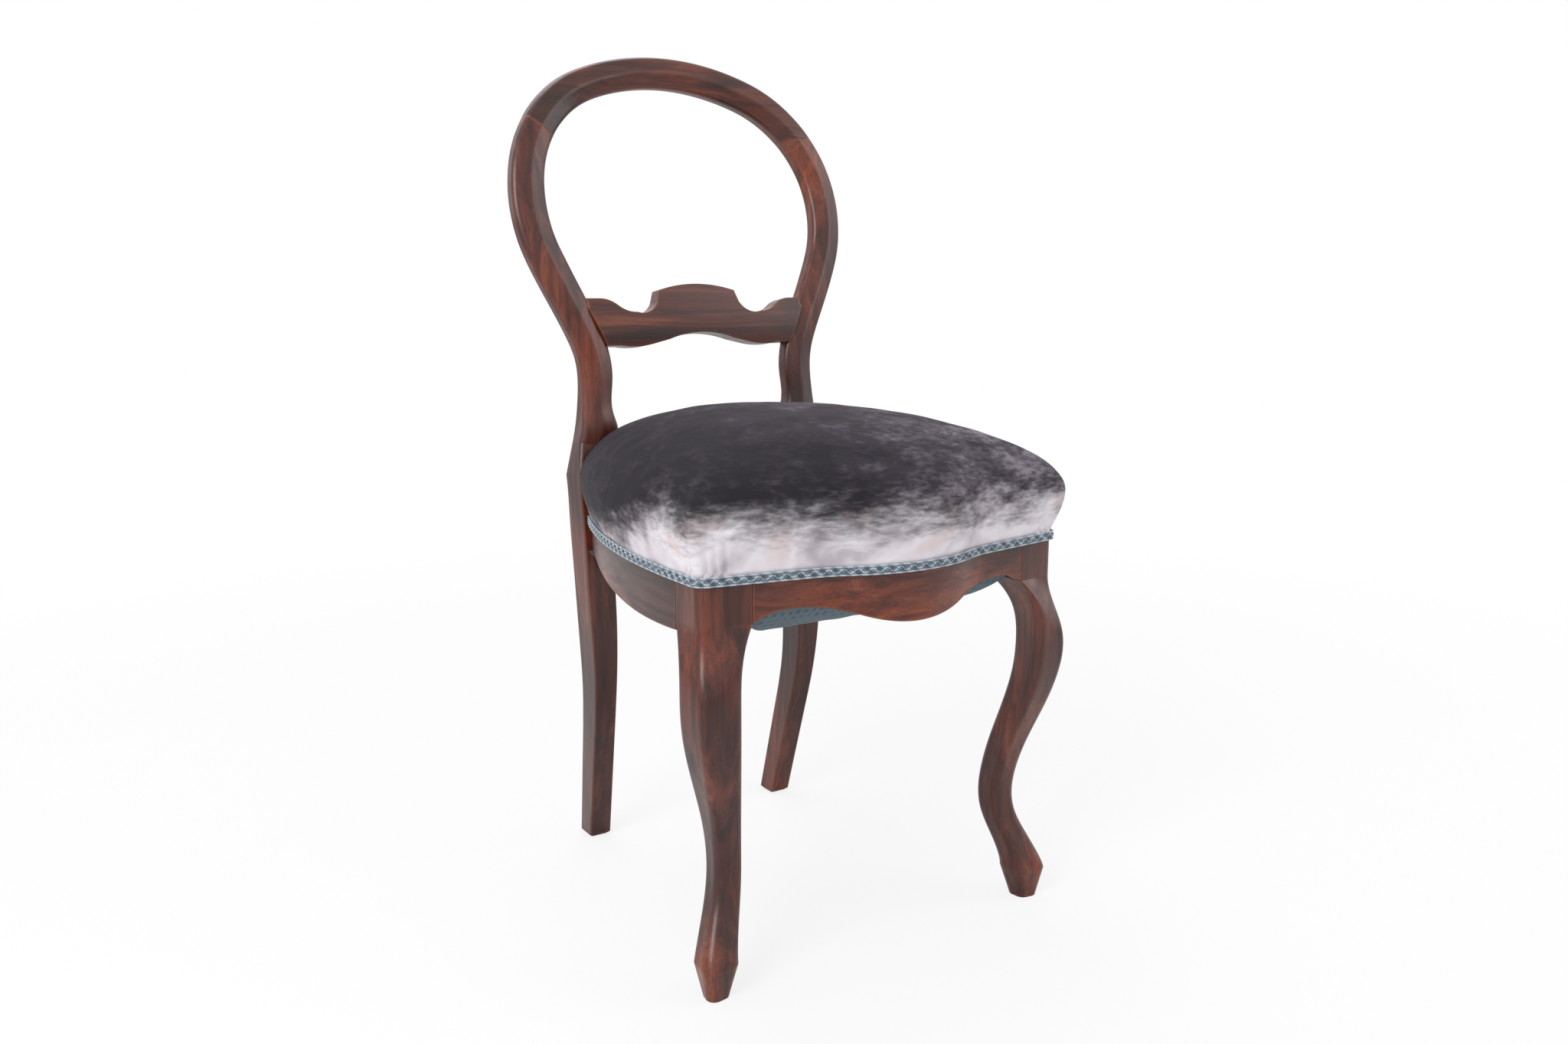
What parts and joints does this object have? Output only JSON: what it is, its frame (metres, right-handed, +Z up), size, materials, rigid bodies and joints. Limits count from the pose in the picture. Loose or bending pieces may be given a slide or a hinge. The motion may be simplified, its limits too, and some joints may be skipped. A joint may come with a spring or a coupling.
{
  "type": "balloon back chair",
  "caption": "Dining chair with a rounded hoop back, shaped mid rail, cabriole front legs, raked rear legs and a sprung, domed upholstered seat edged with braid.",
  "frame": {"origin": "on the floor under the middle of the chair, centred between the outermost points", "axes": "+Z up, -Y towards the front of the seat, +X to the right as seen from the front"},
  "size_m": [0.4396, 0.5092, 0.9003],
  "materials": {
    "dark_walnut": "French polished dark brown hardwood with reddish patches",
    "frame_beech": "plain unpolished beech",
    "crushed_velvet": "crushed velvet, dark on top and silvery pink where the pile lies over",
    "gimp_braid": "woven scroll braid",
    "lining_cloth": "thin plain woven lining",
    "jute": "coarse jute webbing and hessian",
    "stuffing": "curled hair and wadding",
    "spring_steel": "copper-dull spring wire",
    "screw_steel": "plain steel"
  },
  "bodies": {
    "root": {"rear_leg_left": "dark_walnut", "rear_leg_right": "dark_walnut", "crest_rail": "dark_walnut", "mid_rail": "dark_walnut", "front_leg_left": "dark_walnut", "front_leg_right": "dark_walnut", "front_seat_rail": "dark_walnut", "side_seat_rail_left": "dark_walnut", "side_seat_rail_right": "dark_walnut", "back_seat_rail": "dark_walnut", "corner_block_front_left": "frame_beech", "corner_block_front_right": "frame_beech", "corner_block_rear_left": "frame_beech", "corner_block_rear_right": "frame_beech", "crest_dowels": "frame_beech", "corner_block_screws": "screw_steel", "webbing_tacks": "screw_steel", "webbing_front_to_back": "jute", "webbing_side_to_side": "jute", "hessian": "jute", "lashing_twine": "jute", "spring_front_left": "spring_steel", "spring_front_right": "spring_steel", "spring_rear_left": "spring_steel", "spring_rear_right": "spring_steel", "seat_stuffing": "stuffing", "velvet_cover": "crushed_velvet", "gimp_braid_front": "gimp_braid", "gimp_braid_back": "gimp_braid", "dust_cover": "lining_cloth"}
  },
  "joints": []
}
